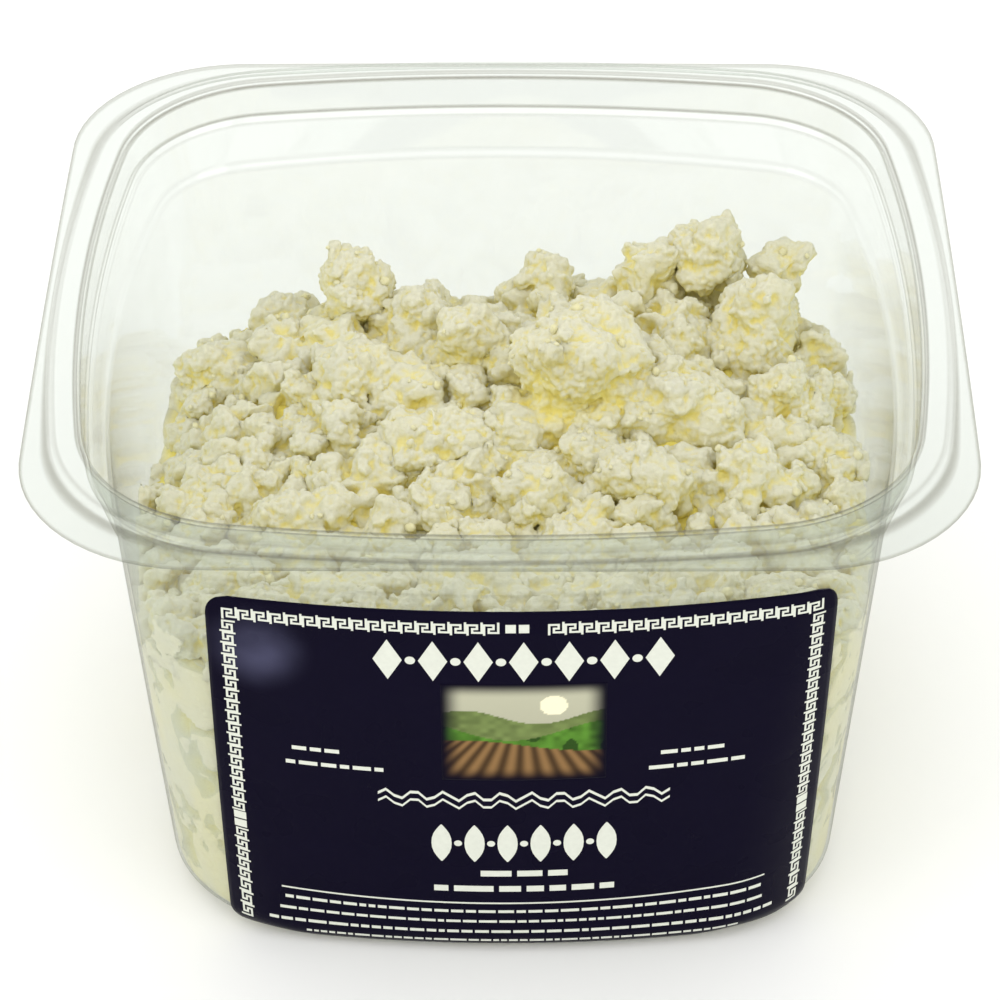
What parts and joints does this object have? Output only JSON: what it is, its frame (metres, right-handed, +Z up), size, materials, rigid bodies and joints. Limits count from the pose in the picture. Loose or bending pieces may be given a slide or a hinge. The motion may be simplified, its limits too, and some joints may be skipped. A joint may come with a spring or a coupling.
{
  "type": "tub of crumbled cheese",
  "caption": "Open clear square tub with a wide flange, filled with lumpy crumbled white cheese, with a dark patterned label on its front.",
  "frame": {"origin": "centre of the underside of the tub's base, on the surface that it stands on", "axes": "+Z up out of the tub's mouth, -Y out of the front wall that carries the label, +X to the right of someone who faces the label"},
  "size_m": [0.1374, 0.1374, 0.0865],
  "materials": {
    "clear_plastic": "clear thermoformed PET sheet, glossy, very faint green",
    "cheese": "moist white brined cheese, granular, matte with a soft sheen, ochre in the crevices",
    "label_paper": "glossy coated paper, printed near-black navy with a pale border and bars"
  },
  "bodies": {
    "root": {"tub": "clear_plastic", "crumbled_cheese": "cheese", "label": "label_paper"}
  },
  "joints": []
}
